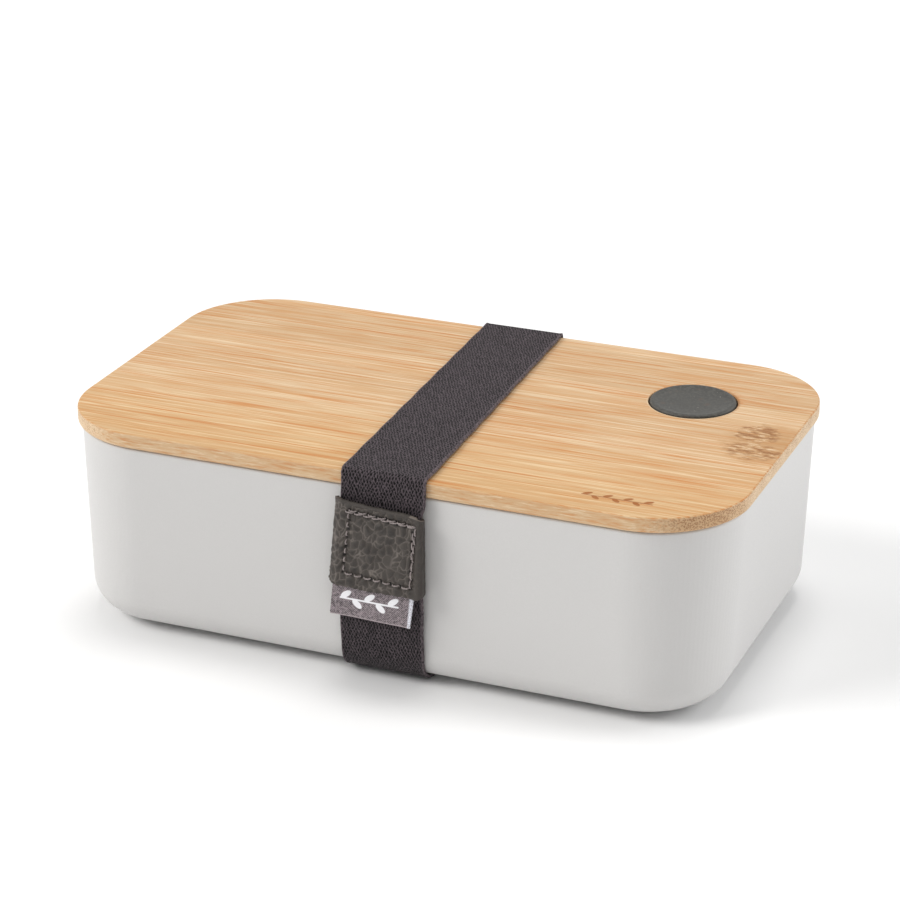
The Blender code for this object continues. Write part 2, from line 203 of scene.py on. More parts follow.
# a row of leaves on a stem, from distances along and across it counted in leaves
def sprigMask(tree, along, across, leaves, softness):
    cos, sin = math.cos(math.radians(38)), math.sin(math.radians(38))      # the leaves' slant
    index = calc(tree, "FLOOR", along)
    side = minus(tree, 1.0, times(tree, calc(tree, "MODULO", index, 2.0), 2.0))
    x = minus(tree, minus(tree, along, index), 0.5)
    y = minus(tree, times(tree, across, side), 0.36)
    a = plus(tree, times(tree, x, cos), times(tree, y, sin))
    b = minus(tree, times(tree, y, cos), times(tree, x, sin))
    long = calc(tree, "POWER", divide(tree, a, 0.50), 2.0)
    thin = calc(tree, "POWER", divide(tree, b, 0.25), 2.0)
    leaf = spread(tree, plus(tree, long, thin), 1.0 + softness, 1.0 - softness)
    stem = spread(tree, calc(tree, "ABSOLUTE", across), 0.075 + softness * 0.08, 0.075 - softness * 0.05)
    both = calc(tree, "MAXIMUM", leaf, stem)
    inside = times(tree, spread(tree, along, -0.02, 0.02), spread(tree, along, leaves + 0.02, leaves - 0.02))
    return times(tree, both, inside)


# materials

bambooLook = {
    "pale": (0.685, 0.492, 0.304),
    "middle": (0.622, 0.410, 0.226),
    "streak": (0.600, 0.305, 0.120),
    "vein": (0.570, 0.225, 0.062),
    "cream": (0.780, 0.605, 0.400),
    "tan": (0.500, 0.272, 0.115),
    "brown": (0.300, 0.128, 0.045),
    "burnt": (0.340, 0.105, 0.020),
    "frontTint": (0.985, 0.93, 0.80),
    "strip": 0.0142,         # width of the laminated strips
    "dashes": (150, 1500, 1900),     # pattern per metre: dashes on the sides
    "ticks": (160, 1300, 0),         # ticks along the upper edge
    "dots": (900, 2900, 2300),       # fibre ends in the end grain
    "motif": (0.0610, -0.0520, 0.0030, 7),   # start, middle line, leaf length, leaves
}
ventRimLook = {  # distances from the vent's middle where each mark fades out and is full
    "behind": (0.0160, 0.0136),
    # painted shadow: a brown line just inside the right of the rim
    "right": (0.0144, 0.0136),
    # painted highlight: a cream line on the front of the recess's chamfer
    "chamfer": (0.0141, 0.0138),
}
knotLook = {  # middle and half sizes on the board
    "stain": ((0.0985, 0.0015), (0.0115, 0.0130)),
    "upper": ((0.0942, 0.0080), (0.0064, 0.0066)),
    "lower": ((0.0962, -0.0048), (0.0080, 0.0058)),
}


# 1 in the middle of an ellipse, falling to 0 at its uneven outline
def ragPatch(tree, x, y, place, size, uneven, soft):
    dx = divide(tree, minus(tree, x, place[0]), size[0])
    dy = divide(tree, minus(tree, y, place[1]), size[1])
    far = plus(tree, calc(tree, "POWER", dx, 2.0), calc(tree, "POWER", dy, 2.0))
    far = plus(tree, far, times(tree, minus(tree, uneven, 0.5), 2.4))
    return spread(tree, far, 1.0 + soft, 1.0 - soft)


def bambooMaterial():
    material, tree, shader = newMaterial("bambooBoard", 0.5, Specular_IOR_Level=0.30)
    look = bambooLook
    coords = addNode(tree, "TexCoord")
    place = coords.outputs["Object"]
    x, y, z = axes(tree, place)
    normal = axes(tree, coords.outputs["Normal"])
    waver = noiseValue(tree, stretched(tree, place, (11, 60, 60)), 1.0, 2)
    y2 = plus(tree, y, times(tree, waver, 0.0016))
    strip = calc(tree, "FLOOR", divide(tree, y2, look["strip"]))
    tone = addNode(tree, "TexWhiteNoise", {"W": strip}, noise_dimensions="1D").outputs["Value"]
    shift = addNode(tree, "CombineXYZ", {0: times(tree, tone, 3.0), 1: 0.0, 2: 0.0}).outputs[0]
    moved = addNode(tree, "VectorMath", {0: place, 1: shift}, operation="ADD").outputs[0]

    def grain(longX, fineY, detail, rough=0.6, offset=(0, 0, 0), distortion=0.1):
        vector = stretched(tree, moved, (longX, fineY, fineY), offset)
        return noiseValue(tree, vector, 1.0, detail, rough, distortion)

    broad = grain(6, 150, 4)
    streak = grain(26, 760, 4, 0.64)
    fibre = grain(60, 2500, 3, 0.7)
    vein = grain(19, 980, 3, 0.6, (3, 7, 1), 0.25)
    light = grain(24, 1150, 3, 0.6, (1, 2, 9))
    color = colorMix(tree, spread(tree, broad, 0.36, 0.62), look["pale"], look["middle"])
    color = colorMix(tree, spread(tree, tone, 0.1, 0.9, 0, 0.35), color, look["middle"])
    color = colorMix(tree, spread(tree, streak, 0.47, 0.64, 0, 0.75), color, look["streak"])
    color = colorMix(tree, spread(tree, light, 0.52, 0.62, 0, 0.85), color, look["cream"])
    color = colorMix(tree, spread(tree, fibre, 0.48, 0.72, 0, 0.45), color, look["streak"])
    color = colorMix(tree, spread(tree, vein, 0.545, 0.640, 0, 0.78), color, look["vein"])
    stripValue = spread(tree, tone, 0, 1, 1.03, 0.955)
    color = addNode(tree, "HueSaturation", {"Color": color, "Value": stripValue}).outputs[0]

    front = times(tree, spread(tree, y, -0.010, -0.045), 0.8)
    color = colorMix(tree, front, color, look["frontTint"], "MULTIPLY")

    # the node of the cane: a tan stain, and short dark and pale strokes in two clumps on it
    uneven = noiseValue(tree, stretched(tree, place, (210, 300, 300)), 1.0, 4, 0.7)
    stroke = noiseValue(tree, stretched(tree, place, (240, 1100, 400)), 1.0, 4, 0.70, 0.25)
    stain = ragPatch(tree, x, y, *knotLook["stain"], uneven, 0.55)
    clumps = calc(tree, "MAXIMUM", ragPatch(tree, x, y, *knotLook["upper"], uneven, 0.35),
                  ragPatch(tree, x, y, *knotLook["lower"], uneven, 0.35))
    color = colorMix(tree, times(tree, stain, 0.62), color, look["tan"])
    dark = times(tree, clumps, spread(tree, stroke, 0.48, 0.58, 0.05, 0.85))
    color = colorMix(tree, dark, color, look["brown"])
    pale = times(tree, clumps, spread(tree, stroke, 0.45, 0.38, 0, 0.85))
    color = colorMix(tree, pale, color, look["cream"])

    # side faces: fine dashes along the grain
    side = spread(tree, normal[2], 0.75, 0.35)
    dash = noiseValue(tree, stretched(tree, place, look["dashes"]), 1.0, 3, 0.65, 0.3)
    sides = colorMix(tree, spread(tree, broad, 0.36, 0.62), look["pale"], look["middle"])
    sides = colorMix(tree, spread(tree, dash, 0.50, 0.66, 0, 0.65), sides, look["vein"])
    sides = colorMix(tree, spread(tree, dash, 0.44, 0.34, 0, 0.70), sides, look["cream"])
    color = colorMix(tree, side, color, sides)

    # end grain: cut fibre bundles show as dark dots, closest together near the upper face
    faces = spread(tree, calc(tree, "ABSOLUTE", normal[0]), 0.25, 0.60)
    endGrain = times(tree, faces, spread(tree, normal[2], 0.85, 0.55))
    dots = cellDistance(tree, stretched(tree, place, look["dots"]), 1.0)
    depth = spread(tree, z, topZ - board["edge"], topZ - 0.0008)
    corner = times(tree, spread(tree, normal[1], 0.1, -0.45), spread(tree, x, 0.0, 0.05))
    many = plus(tree, times(tree, depth, 0.10), times(tree, corner, 0.16))
    many = plus(tree, many, times(tree, minus(tree, uneven, 0.5), 0.25))
    dot = minus(tree, plus(tree, many, 0.27), dots)
    dot = spread(tree, dot, -0.06, 0.10)
    cut = colorMix(tree, spread(tree, broad, 0.3, 0.7), look["cream"], look["pale"])
    cut = colorMix(tree, times(tree, corner, 0.55), cut, look["tan"])
    cut = colorMix(tree, times(tree, dot, 0.72), cut, look["brown"])
    color = colorMix(tree, endGrain, color, cut)

    # upper edge: broken orange ticks, mostly at the right end
    edge = times(tree, spread(tree, normal[2], 0.995, 0.95), spread(tree, normal[2], 0.45, 0.75))
    tick = noiseValue(tree, stretched(tree, place, look["ticks"]), 1.0, 3, 0.7)
    tick = times(tree, spread(tree, tick, 0.46, 0.58), spread(tree, x, -0.02, 0.09, 0.45, 0.95))
    color = colorMix(tree, times(tree, edge, tick), color, look["vein"])

    # scorching round the vent recess: ticks outside the back of the rim; painted shadow as a brown line at
    # the right; a painted cream highlight on the front of the chamfer
    rx, ry = minus(tree, x, ventX), minus(tree, y, ventY)
    reach = calc(tree, "SQRT", plus(tree, calc(tree, "POWER", rx, 2.0), calc(tree, "POWER", ry, 2.0)))
    speck = noiseValue(tree, stretched(tree, place, (600, 1100, 600)), 1.0, 3, 0.7)
    upward = spread(tree, normal[2], 0.5, 0.9)
    behind = times(tree, spread(tree, reach, *ventRimLook["behind"]), spread(tree, ry, 0.000, 0.006))
    behind = times(tree, behind, upward)
    behind = times(tree, behind, spread(tree, speck, 0.46, 0.58, 0, 0.9))
    color = colorMix(tree, behind, color, look["vein"])
    # painted shadow: the brown line at the right of the recess
    right = times(tree, spread(tree, reach, *ventRimLook["right"]), spread(tree, rx, 0.004, 0.010))
    right = times(tree, right, upward)
    color = colorMix(tree, times(tree, right, 0.75), color, look["brown"])
    # painted highlight: the cream line along the chamfer, on the front side only
    chamfer = times(tree, spread(tree, reach, *ventRimLook["chamfer"]),
                    spread(tree, ry, 0.002, -0.006, 0, 0.7))
    color = colorMix(tree, chamfer, color, look["cream"])

    # burnt-in row of leaves
    start, line, leaf, count = look["motif"]
    along = divide(tree, minus(tree, x, start), leaf)
    across = divide(tree, minus(tree, y, line), leaf)
    burnt = sprigMask(tree, along, across, count, 0.25)
    burnt = times(tree, burnt, spread(tree, normal[2], 0.9, 0.98))
    charred = times(tree, burnt, spread(tree, streak, 0.3, 0.7, 0.98, 0.70))
    color = colorMix(tree, charred, color, look["burnt"])
    tree.links.new(color, shader.inputs["Base Color"])
    tree.links.new(spread(tree, fibre, 0.3, 0.7, 0.44, 0.62), shader.inputs["Roughness"])
    height = plus(tree, fibre, times(tree, streak, 0.8))
    height = minus(tree, height, times(tree, burnt, 1.5))
    height = minus(tree, height, times(tree, times(tree, dot, endGrain), 0.9))
    height = minus(tree, height, times(tree, dark, 0.8))
    addBump(tree, shader, height, 0.00006, 0.8)
    return material


plasticLook = {
    "container": (0.640, 0.630, 0.620),
    "divider": (0.625, 0.615, 0.605),
    "rough": 0.42,
    "grain": 2200,
    "cloud": 0.985,          # how dark the broad and the fine mottling go
    "fine": 0.965,
}


def plasticMaterial(name, color):
    rough, grain = plasticLook["rough"], plasticLook["grain"]
    material, tree, shader = newMaterial(name, rough, Specular_IOR_Level=0.4)
    place = ownPlace(tree)
    fine = noiseValue(tree, place, grain, 3, 0.6)
    cloud = noiseValue(tree, place, 28, 3, 0.5)
    shade = colorMix(tree, spread(tree, cloud, 0.35, 0.65), color, shaded(color, plasticLook["cloud"]))
    shade = colorMix(tree, spread(tree, fine, 0.3, 0.7), shade, shaded(color, plasticLook["fine"]))
    tree.links.new(shade, shader.inputs["Base Color"])
    tree.links.new(spread(tree, fine, 0.3, 0.7, rough - 0.05, rough + 0.07), shader.inputs["Roughness"])
    addBump(tree, shader, fine, 0.00003, 0.7)
    return material


siliconeLook = {
    "vent": (0.057, 0.055, 0.048),
    "seal": (0.40, 0.39, 0.375),
    "dark": 0.72,            # shade of the cloudy mottling and of the fine grain
    "bright": 1.75,
    "stain": (0.100, 0.066, 0.046),
    "speck": (0.42, 0.39, 0.35),
    "specks": 420.0,
}


def siliconeMaterial(name, color, dust):
    material, tree, shader = newMaterial(name, 0.5, Specular_IOR_Level=0.45, Sheen_Weight=0.12,
                                         Sheen_Roughness=0.5)
    place = ownPlace(tree)
    fine = noiseValue(tree, place, 1150, 4, 0.75)
    cloud = noiseValue(tree, place, 160, 4, 0.6)
    shade = colorMix(tree, spread(tree, cloud, 0.3, 0.7), color, shaded(color, siliconeLook["dark"]))
    bright = shaded(color, siliconeLook["bright"])
    shade = colorMix(tree, spread(tree, fine, 0.46, 0.62, 0, 0.8), shade, bright)
    stain = spread(tree, noiseValue(tree, place, 210, 3, 0.6), 0.60, 0.70, 0, 0.6 * dust)
    shade = colorMix(tree, stain, shade, siliconeLook["stain"])
    specks = cellDistance(tree, place, siliconeLook["specks"])
    speck = times(tree, spread(tree, specks, 0.10, 0.05), spread(tree, cloud, 0.5, 0.6, 0, dust))
    shade = colorMix(tree, speck, shade, siliconeLook["speck"])
    tree.links.new(shade, shader.inputs["Base Color"])
    tree.links.new(spread(tree, fine, 0.3, 0.7, 0.46, 0.62), shader.inputs["Roughness"])
    addBump(tree, shader, plus(tree, fine, times(tree, cloud, 0.6)), 0.00004, 0.8)
    return material


webbingLook = {
    "top": (0.082, 0.065, 0.073),        # yarn as it lies flat over the lid
    "front": (0.084, 0.067, 0.075),
    "gap": (0.004, 0.0030, 0.0036),
    # also the colour the yarn is darkened to as painted shade towards the base
    "open": (0.0010, 0.0008, 0.0010),    # gaps where the webbing is stretched
    # also the colour of the painted glints on the strands
    "edge": (0.200, 0.160, 0.175),
    "row": 0.00206,                      # two rows of the weave, along the strap
    "cells": 27.0,                       # gaps in each row, across
    "wander": (1.5, 1.3),                # how far the rows stray, across and along
}


def webbingMaterial(length):
    material, tree, shader = newMaterial("elasticWebbing", 0.85, Specular_IOR_Level=0.22, Sheen_Weight=0.05,
                                         Sheen_Roughness=0.45)
    coords = addNode(tree, "TexCoord")
    place = coords.outputs["Object"]
    u, v, _ = axes(tree, coords.outputs["UV"])
    strays = {"Vector": place, "Scale": 380.0, "Detail": 3.0, "Roughness": 0.65}
    wanderX, wanderY, _ = axes(tree, addNode(tree, "TexNoise", strays).outputs["Color"])
    a = times(tree, v, webbingLook["cells"])
    a = plus(tree, a, times(tree, wanderX, webbingLook["wander"][0]))
    b = times(tree, u, length / webbingLook["row"])
    b = plus(tree, b, times(tree, wanderY, webbingLook["wander"][1]))
    rising, falling = plus(tree, a, b), minus(tree, a, b)
    ridges = []
    for line, weight in ((falling, 1.0), (rising, 0.86)):
        near = minus(tree, calc(tree, "FRACT", line), 0.5)
        near = times(tree, calc(tree, "ABSOLUTE", near), 2.0)
        ridges.append(times(tree, calc(tree, "POWER", near, 1.5), weight))
    net = calc(tree, "MAXIMUM", *ridges)
    strands = noiseValue(tree, stretched(tree, place, (1.6, 1, 1)), 3600, 3, 0.7)
    patchy = noiseValue(tree, place, 1150, 3, 0.6)
    net = plus(tree, net, times(tree, minus(tree, patchy, 0.5), 1.3), clamp=True)
    up = spread(tree, axes(tree, coords.outputs["Normal"])[2], 0.3, 0.9)
    yarn = colorMix(tree, up, webbingLook["front"], webbingLook["top"])
    # painted shade: the yarn darkens towards the base of the strap
    wearAndShade = spread(tree, axes(tree, place)[2], 0.004, 0.034, 0.35, 0)
    yarn = colorMix(tree, wearAndShade, yarn, webbingLook["open"])
    gap = colorMix(tree, up, webbingLook["open"], webbingLook["gap"])
    color = colorMix(tree, spread(tree, net, 0.30, 0.68), gap, yarn)
    # painted highlight: glints along the yarn strands, in the pale edge colour
    glint = times(tree, spread(tree, strands, 0.49, 0.66, 0, 0.85), spread(tree, net, 0.3, 0.8))
    color = colorMix(tree, glint, color, webbingLook["edge"])
    rim = calc(tree, "ABSOLUTE", minus(tree, v, 0.5))
    cord = times(tree, spread(tree, rim, 0.468, 0.480, 0, 0.6), spread(tree, patchy, 0.35, 0.6, 0.3, 1.0))
    color = colorMix(tree, cord, color, webbingLook["edge"])
    tree.links.new(color, shader.inputs["Base Color"])
    addBump(tree, shader, plus(tree, net, times(tree, strands, 0.25)), 0.00034, 1.0)
    return material


leatherLook = {
    "cell": (0.060, 0.050, 0.043),
    # painted shade inside the pebbles
    "shade": (0.021, 0.0175, 0.0155),
    "crease": (0.185, 0.160, 0.141),
    "dark": (0.006, 0.005, 0.005),
    "raw": (0.200, 0.170, 0.145),
}


def leatherMaterial():
    material, tree, shader = newMaterial("pebbledLeather", 0.55, Specular_IOR_Level=0.4)
    place = ownPlace(tree)
    crease = markOf(tree, "crease")
    pit = markOf(tree, "pit")
    raw = markOf(tree, "raw")
    cloud = noiseValue(tree, place, 190, 4, 0.6)
    pores = noiseValue(tree, place, 3800, 3, 0.65)
    dome = markOf(tree, "dome")
    # painted shade: the pebbles darken towards their middles, varied by a random cloud
    dark = times(tree, spread(tree, dome, 0.25, 0.9, 0, 0.9), spread(tree, cloud, 0.35, 0.65, 0.45, 1.0))
    color = colorMix(tree, dark, leatherLook["cell"], leatherLook["shade"])
    wearAndShade = spread(tree, noiseValue(tree, place, 420, 2), 0.35, 0.6, 0.35, 0.95)
    color = colorMix(tree, times(tree, crease, wearAndShade), color, leatherLook["crease"])
    color = colorMix(tree, spread(tree, pores, 0.55, 0.8, 0, 0.35), color, leatherLook["crease"])
    color = colorMix(tree, raw, color, leatherLook["raw"])
    color = colorMix(tree, pit, color, leatherLook["dark"])
    tree.links.new(color, shader.inputs["Base Color"])
    tree.links.new(spread(tree, pores, 0.3, 0.7, 0.46, 0.66), shader.inputs["Roughness"])
    wrinkle = cellDistance(tree, place, 1500.0, "SMOOTH_F1")
    addBump(tree, shader, plus(tree, times(tree, wrinkle, 0.7), pores), 0.00005, 0.8)
    return material


threadLook = {
    "light": (0.46, 0.395, 0.385),
    "dark": (0.27, 0.228, 0.222),
    "wearAndShade": (0.175, 0.145, 0.140),
}


def threadMaterial():
    material, tree, shader = newMaterial("sewingThread", 0.75, Sheen_Weight=0.3, Sheen_Roughness=0.4)
    place = ownPlace(tree)
    fuzz = noiseValue(tree, place, 4200, 3, 0.6)
    cloud = noiseValue(tree, place, 240, 2, 0.5)
    color = colorMix(tree, spread(tree, fuzz, 0.3, 0.7), threadLook["light"], threadLook["dark"])
    color = colorMix(tree, spread(tree, cloud, 0.4, 0.7, 0, 0.6), color, threadLook["wearAndShade"])
    tree.links.new(color, shader.inputs["Base Color"])
    addBump(tree, shader, fuzz, 0.00004, 0.8)
    return material


ribbonLook = {
    "ground": (0.350, 0.292, 0.310),
    "shadow": (0.045, 0.035, 0.040),
    "white": (0.93, 0.92, 0.95),
    # painted highlight along the ribbon's fold
    "fold": (0.50, 0.42, 0.44),
    "satin": (0.70, 0.69, 0.73),
    "cutEnd": (0.78, 0.79, 0.86),
    "twill": (0.00075, 0.00060),     # spacing of the ribs, along and across
    "satinRow": 0.00005,
    "endBand": (0.0010, 0.0006),     # pale thread along the cut side, from its edge
}


def ribbonMaterial(length, width, motif):
    material, tree, shader = newMaterial("labelRibbon", 0.6, Sheen_Weight=0.25, Sheen_Roughness=0.35)
    u, v, _ = axes(tree, addNode(tree, "TexCoord").outputs["UV"])
    down = times(tree, u, length)       # metres along the ribbon
    over = times(tree, v, width)        # metres across it
    ribs = ribbonLook["twill"]
    twill = plus(tree, divide(tree, down, ribs[0]), divide(tree, over, ribs[1]))
    yarn = calc(tree, "ABSOLUTE", minus(tree, calc(tree, "FRACT", twill), 0.5))
    yarn = times(tree, yarn, 2.0)
    place = ownPlace(tree)
    ragged = noiseValue(tree, place, 2400, 2, 0.5)
    mottle = spread(tree, noiseValue(tree, place, 1700, 3, 0.7), 0.3, 0.7, -0.75, 0.75)
    lit = plus(tree, yarn, mottle, clamp=True)
    color = colorMix(tree, lit, ribbonLook["shadow"], ribbonLook["ground"])
    # painted highlight: a paler line along the fold at the bottom
    bend = spread(tree, calc(tree, "ABSOLUTE", minus(tree, u, 0.5)), 0.024, 0.012, 0, 0.75)
    color = colorMix(tree, bend, color, ribbonLook["fold"])
    along = divide(tree, minus(tree, over, motif["start"]), motif["leaf"])
    across = divide(tree, minus(tree, motif["line"], down), motif["leaf"])
    woven = sprigMask(tree, along, across, motif["leaves"], 0.12)
    satin = spread(tree, calc(tree, "SINE", divide(tree, over, ribbonLook["satinRow"])), -1, 1, 0.82, 1.0)
    white = colorMix(tree, satin, ribbonLook["satin"], ribbonLook["white"])
    taper = times(tree, calc(tree, "ABSOLUTE", minus(tree, u, 0.5)), 0.0014)
    end = spread(tree, plus(tree, over, taper), *(width - inset for inset in ribbonLook["endBand"]))
    color = colorMix(tree, woven, color, white)
    end = times(tree, end, spread(tree, ragged, 0.3, 0.6, 0.35, 1.0))
    color = colorMix(tree, end, color, ribbonLook["cutEnd"])
    tree.links.new(color, shader.inputs["Base Color"])
    height = plus(tree, yarn, times(tree, woven, 1.6))
    addBump(tree, shader, height, 0.00007, 0.8)
    return material


# helpers for modelling

def startPiece():
    if bpy.context.object and bpy.context.object.mode != "OBJECT":
        bpy.ops.object.mode_set(mode="OBJECT")
    bpy.ops.object.select_all(action="DESELECT")


def pick(kind, test):
    mesh = bpy.context.object.data
    bpy.ops.mesh.select_mode(type=kind)
    bpy.ops.mesh.select_all(action="DESELECT")
    bm = bmesh.from_edit_mesh(mesh)
    for item in {"VERT": bm.verts, "EDGE": bm.edges, "FACE": bm.faces}[kind]:
        if test(item):
            item.select_set(True)
    bm.select_flush_mode()
    bmesh.update_edit_mesh(mesh)


def level(item, height):
    return all(abs(v.co.z - height) < 0.00002 for v in item.verts)


def standing(edge):
    first, second = (v.co for v in edge.verts)
    return abs(first.z - second.z) > 0.0002 and (first - second).xy.length < 0.01


def roundedSlab(name, halfX, halfY, radius, low, high, steps):
    startPiece()
    bpy.ops.mesh.primitive_cube_add(size=1, location=(0, 0, (low + high) / 2),
                                    scale=(2 * halfX, 2 * halfY, high - low))
    piece = bpy.context.object
    piece.name = piece.data.name = name
    bpy.ops.object.transform_apply(location=True, rotation=True, scale=True)
    bpy.ops.object.mode_set(mode="EDIT")
    pick("EDGE", standing)
    bpy.ops.mesh.bevel(offset=radius, segments=steps, profile=0.5, affect="EDGES")
    return piece


def applyModifier(piece, kind, **settings):
    bpy.context.view_layer.objects.active = piece
    piece.select_set(True)
    modifier = piece.modifiers.new(kind.lower(), kind)
    for name, value in settings.items():
        setattr(modifier, name, value)
    bpy.ops.object.modifier_apply(modifier=modifier.name)


def drillHole(piece, x, y, radius, low, high, sides):
    startPiece()
    bpy.ops.mesh.primitive_cylinder_add(vertices=sides, radius=radius, depth=high - low,
                                        location=(x, y, (low + high) / 2))
    drill = bpy.context.object
    applyModifier(piece, "BOOLEAN", operation="DIFFERENCE", object=drill)
    bpy.data.objects.remove(drill)


def linkPiece(name, data):
    piece = bpy.data.objects.new(name, data)
    bpy.context.scene.collection.objects.link(piece)
    bpy.context.view_layer.objects.active = piece
    piece.select_set(True)
    return piece


def cleanMesh(join=0.0):
    bpy.ops.object.mode_set(mode="EDIT")
    bpy.ops.mesh.select_all(action="SELECT")
    if join:
        bpy.ops.mesh.remove_doubles(threshold=join)
    bpy.ops.mesh.normals_make_consistent(inside=False)
    bpy.ops.object.mode_set(mode="OBJECT")


def lowerFace(drop):
    bpy.ops.mesh.extrude_region_move(TRANSFORM_OT_translate={"value": (0, 0, -drop)})


def handOver(piece, material, body, node, angle=40):
    startPiece()
    bpy.context.view_layer.objects.active = piece
    piece.select_set(True)
    piece.data.materials.clear()
    piece.data.materials.append(material)
    if angle:
        bpy.ops.object.shade_smooth_by_angle(angle=math.radians(angle))
    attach(piece, body)
    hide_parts(node)
    piece.select_set(False)
    print("made", piece.name)


def gridPiece(name, along, across, place):
    startPiece()
    bpy.ops.mesh.primitive_grid_add(x_subdivisions=len(along) - 1, y_subdivisions=len(across) - 1, size=1)
    piece = bpy.context.object
    piece.name = piece.data.name = name
    mesh = piece.data
    flat = np.empty(len(mesh.vertices) * 3)
    mesh.vertices.foreach_get("co", flat)
    flat = flat.reshape(-1, 3)
    column = np.rint((flat[:, 0] + 0.5) * (len(along) - 1)).astype(int)
    row = np.rint((flat[:, 1] + 0.5) * (len(across) - 1)).astype(int)
    u, v = along[column], across[row]
    mesh.vertices.foreach_set("co", place(u, v).ravel())
    corner = np.empty(len(mesh.loops), dtype=np.int32)
    mesh.loops.foreach_get("vertex_index", corner)
    mesh.uv_layers.active.data.foreach_set("uv", np.stack([u[corner], v[corner]], 1).ravel())
    mesh.update()
    return piece


# where a point of the strap's own frame lies: x from its middle line, y and z as in the box
def onStrap(x, y, z):
    return np.stack([x + fit["strapX"] + fit["leanY"] * y + fit["leanZ"] * (z - topZ), y, z], 1)


def arcPoints(middle, radius, start, end, steps):
    angles = np.linspace(start, end, steps + 1)
    return np.stack([middle[0] + radius * np.cos(angles), middle[1] + radius * np.sin(angles)], 1)


def lengths(points):
    return np.concatenate([[0], np.cumsum(np.linalg.norm(np.diff(points, axis=0), axis=1))])


# adds points to the straight runs of a line, so that none is longer than a step
def filled(points, step):
    made = [points[:1]]
    for first, second in zip(points, points[1:]):
        count = max(1, math.ceil(np.linalg.norm(second - first) / step))
        shares = np.linspace(0, 1, count + 1)[1:, None]
        made.append(first + (second - first) * shares)
    return np.concatenate(made)


# container

tub = {"corner": 0.0285, "baseCorner": 0.0249, "steps": 28, "rimRound": 0.0008}


def makeContainer():
    halfX, halfY = tubHigh.x, tubHigh.y
    low, high = tubLow.z, tubHigh.z
    piece = roundedSlab("containerTub", halfX, halfY, tub["corner"], low, high, tub["steps"])
    bm = bmesh.from_edit_mesh(piece.data)
    shrink = tub["baseCorner"] / tub["corner"]
    inX = halfX - fit["endTaper"] - tub["baseCorner"]
    inY = halfY - fit["sideTaper"] - tub["baseCorner"]
    for vert in bm.verts:
        if vert.co.z < (low + high) / 2:  # tighter corners at the base
            sideX, sideY = math.copysign(1, vert.co.x), math.copysign(1, vert.co.y)
            vert.co.x = sideX * (inX + (abs(vert.co.x) - halfX + tub["corner"]) * shrink)
            vert.co.y = sideY * (inY + (abs(vert.co.y) - halfY + tub["corner"]) * shrink)
    bmesh.update_edit_mesh(piece.data)
    pick("EDGE", lambda edge: level(edge, low))
    bpy.ops.mesh.bevel(offset=fit["baseRoll"], segments=14, profile=0.5, affect="EDGES")
    pick("FACE", lambda face: level(face, high))
    bpy.ops.mesh.delete(type="FACE")
    bpy.ops.object.mode_set(mode="OBJECT")
    applyModifier(piece, "SOLIDIFY", thickness=fit["wall"], offset=-1, use_even_offset=True)
    bpy.ops.object.mode_set(mode="EDIT")
    pick("FACE", lambda face: all(v.co.z > high - 0.0003 for v in face.verts))
    bpy.ops.mesh.region_to_loop()
    bpy.ops.mesh.bevel(offset=tub["rimRound"], segments=4, profile=0.5, affect="EDGES")
    bpy.ops.object.mode_set(mode="OBJECT")
    applyModifier(piece, "WEIGHTED_NORMAL", weight=60, keep_sharp=True)
    handOver(piece, shellPlastic, "container", "container", angle=0)


# lid

board = {
    "corner": 0.0288,
    "edge": 0.0048,          # thickness at the overhang
    "topRound": 0.0006,
    "underRound": 0.0012,
    "grooveDrop": 0.0009,
    "grooveHeight": 0.0024,
    "grooveDepth": 0.0020,
    "recess": 0.01345,
    "recessDepth": 0.0027,
    "neckHole": 0.0053,
    "stepGap": 0.00081,      # step to the container's inner wall
    "stepRound": 0.0006,
    "recessRound": 0.0003,
    "steps": 28,
}


def makeLid():
    low = topZ - board["edge"]
    halfX, halfY = lidHigh.x, lidHigh.y
    piece = roundedSlab("lidBoard", halfX, halfY, board["corner"], low, topZ, board["steps"])
    pick("EDGE", lambda edge: level(edge, topZ))
    bpy.ops.mesh.bevel(offset=board["topRound"], segments=6, profile=0.5, affect="EDGES")
    pick("EDGE", lambda edge: level(edge, low))
    bpy.ops.mesh.bevel(offset=board["underRound"], segments=5, profile=0.5, affect="EDGES")
    pick("FACE", lambda face: level(face, low))
    step = fit["overhang"] + fit["wall"] + board["stepGap"] - board["underRound"]
    bpy.ops.mesh.inset(thickness=step, depth=0)
    depth = low - lidLow.z
    groove = board["grooveHeight"]
    for drop in (board["grooveDrop"], groove, depth - board["grooveDrop"] - groove):
        lowerFace(drop)
    middle = low - board["grooveDrop"] - groove / 2
    pick("FACE", lambda face: abs(face.calc_center_median().z - middle) < groove / 4)
    bpy.ops.mesh.extrude_region_shrink_fatten(
        TRANSFORM_OT_shrink_fatten={"value": -board["grooveDepth"], "use_even_offset": True})
    pick("EDGE", lambda edge: level(edge, lidLow.z))
    bpy.ops.mesh.bevel(offset=board["stepRound"], segments=3, profile=0.5, affect="EDGES")
    bpy.ops.object.mode_set(mode="OBJECT")
    drillHole(piece, ventX, ventY, board["recess"], topZ - board["recessDepth"], topZ + 0.002, 96)
    drillHole(piece, ventX, ventY, board["neckHole"], lidLow.z - 0.002, topZ, 48)
    bpy.context.view_layer.objects.active = piece
    bpy.ops.object.mode_set(mode="EDIT")
    around = Vector((ventX, ventY))
    pick("EDGE", lambda edge: level(edge, topZ) and all(
        abs((v.co.xy - around).length - board["recess"]) < 0.0001 for v in edge.verts))
    bpy.ops.mesh.bevel(offset=board["recessRound"], segments=3, profile=0.5, affect="EDGES")
    bpy.ops.object.mode_set(mode="OBJECT")
    applyModifier(piece, "WEIGHTED_NORMAL", weight=60, keep_sharp=True)
    handOver(piece, bamboo, "lid", "lid_board", angle=0)


# seal round the lid's step

seal = {"bead": 0.00085, "fin": 0.0004, "corner": 0.0236}


